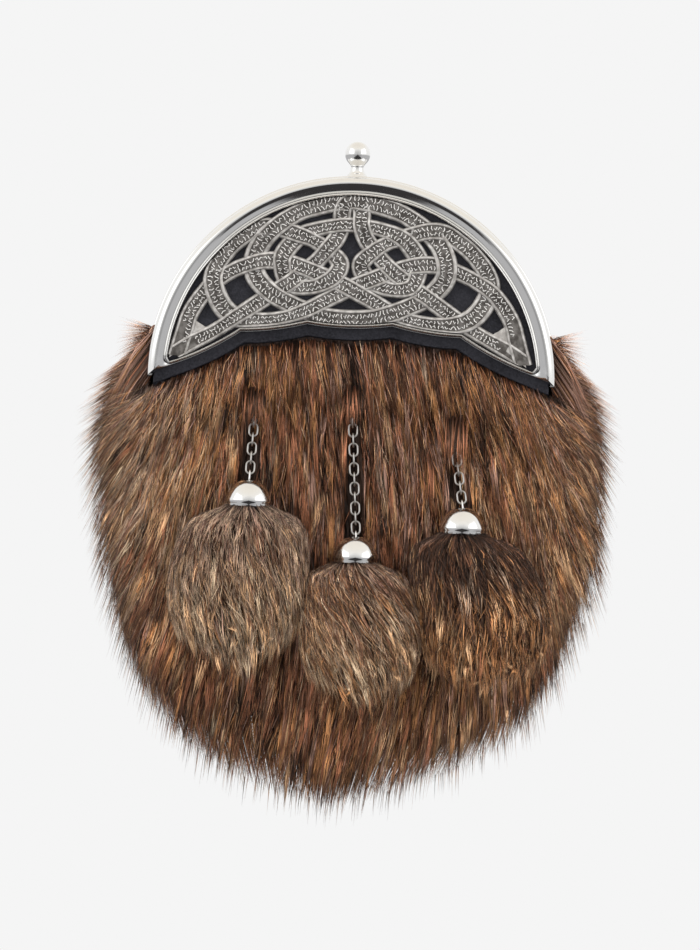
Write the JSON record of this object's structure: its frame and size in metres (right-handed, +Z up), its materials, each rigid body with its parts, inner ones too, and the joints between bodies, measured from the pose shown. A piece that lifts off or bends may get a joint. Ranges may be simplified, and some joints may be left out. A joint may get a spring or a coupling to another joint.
{
  "type": "dress sporran pouch",
  "caption": "Fur-covered leather belt pouch with a half-round pierced silver cantle, a ball finial and chained fur tassels; opens at the back and hangs by two belt loops.",
  "frame": {"origin": "middle of the belt strap's run behind the pouch, half way between the two belt loops, where the sporran hangs", "axes": "+Z up, -Y out of the fur front, +X to the right as seen from the front"},
  "size_m": [0.215, 0.08, 0.2699],
  "materials": {
    "polished_chrome": "polished",
    "antique_silver": "cast, with darkened recesses",
    "black_leather": "grained, semi-matt",
    "fur_coat": "long fur, red-brown with tan tips",
    "tassel_fur_light": "long fur, grey-tan",
    "tassel_fur_brown": "long fur, tan-brown",
    "tassel_fur_dark": "long fur, dark brown with a tan rim"
  },
  "bodies": {
    "root": {"cantle_frame": "polished_chrome", "knot_plate": "antique_silver", "cantle_leather": "black_leather", "ball_finial": "polished_chrome", "pouch_wall": "black_leather", "pouch_fur": "fur_coat", "chain_left_link_01": "polished_chrome", "chain_left_link_02": "polished_chrome", "chain_left_link_03": "polished_chrome", "chain_left_link_04": "polished_chrome", "chain_left_link_05": "polished_chrome", "chain_middle_link_01": "polished_chrome", "chain_middle_link_02": "polished_chrome", "chain_middle_link_03": "polished_chrome", "chain_middle_link_04": "polished_chrome", "chain_middle_link_05": "polished_chrome", "chain_middle_link_06": "polished_chrome", "chain_middle_link_07": "polished_chrome", "chain_middle_link_08": "polished_chrome", "chain_middle_link_09": "polished_chrome", "chain_middle_link_10": "polished_chrome", "chain_middle_link_11": "polished_chrome", "chain_right_link_01": "polished_chrome", "chain_right_link_02": "polished_chrome", "chain_right_link_03": "polished_chrome", "chain_right_link_04": "polished_chrome", "chain_right_link_05": "polished_chrome", "chain_staple_left": "polished_chrome", "chain_staple_middle": "polished_chrome", "chain_staple_right": "polished_chrome", "tassel_cap_left": "polished_chrome", "tassel_cap_middle": "polished_chrome", "tassel_cap_right": "polished_chrome", "tassel_fur_left": "tassel_fur_light", "tassel_fur_middle": "tassel_fur_brown", "tassel_fur_right": "tassel_fur_dark", "back_flap": "black_leather", "flap_stud": "polished_chrome", "belt_loop_left": "black_leather", "belt_loop_right": "black_leather"}
  },
  "joints": []
}
